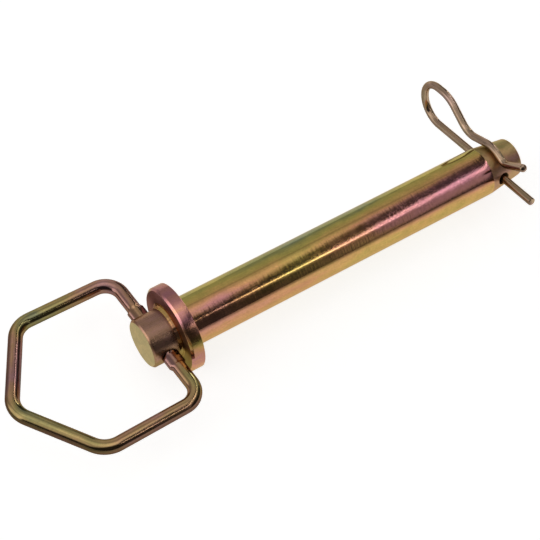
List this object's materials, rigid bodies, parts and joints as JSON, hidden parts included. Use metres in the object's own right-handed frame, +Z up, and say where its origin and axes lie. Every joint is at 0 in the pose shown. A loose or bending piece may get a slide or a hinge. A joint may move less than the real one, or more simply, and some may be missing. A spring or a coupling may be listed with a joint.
{
  "type": "hitch pin lock",
  "caption": "Steel drawbar hitch pin with a collar, a swinging pentagonal wire handle and a spring R-clip through the hole in its tapered nose.",
  "frame": {"origin": "middle of the bounding box's bottom face, under the collar's lowest point in height", "axes": "+X along the pin from the handle to the nose, +Y along the handle's hinge towards the clip's loop, +Z up"},
  "size_m": [0.2924, 0.1044, 0.0467],
  "materials": {
    "pin_body": "iridescent yellow zinc plating, satin",
    "collar": "iridescent yellow zinc plating, satin",
    "collar_weld": "yellow zinc plating over a weld bead",
    "handle": "iridescent yellow zinc plating, bright",
    "clip_leg_and_loop": "yellow zinc plating over drawn spring wire",
    "clip_arm": "yellow zinc plating over drawn spring wire"
  },
  "bodies": {
    "pin": {"pin_body": "pin_body", "collar": "collar", "collar_weld": "collar_weld"},
    "handle": {"handle": "handle"},
    "clip": {"clip_leg_and_loop": "clip_leg_and_loop"},
    "clip_arm": {"clip_arm": "clip_arm"}
  },
  "joints": [
    {"name": "handle_swing", "type": "hinge", "parent": "pin", "child": "handle", "pos_m": [-0.06661, -0.0067, 0.02216], "axis": [0, 1, 0], "range_deg": [-169.5, 165]},
    {"name": "clip_pull", "type": "slide", "parent": "pin", "child": "clip", "axis": [0, 0.9813, -0.1925], "range_m": [0, 0.048], "deforming": ["clip_arm"]},
    {"name": "clip_arm_flex", "type": "hinge", "parent": "clip", "child": "clip_arm", "pos_m": [0.13297, 0.03916, 0.04021], "axis": [-1, 0, 0], "range_deg": [0, 12], "stiffness_Nm_per_rad": 3}
  ]
}
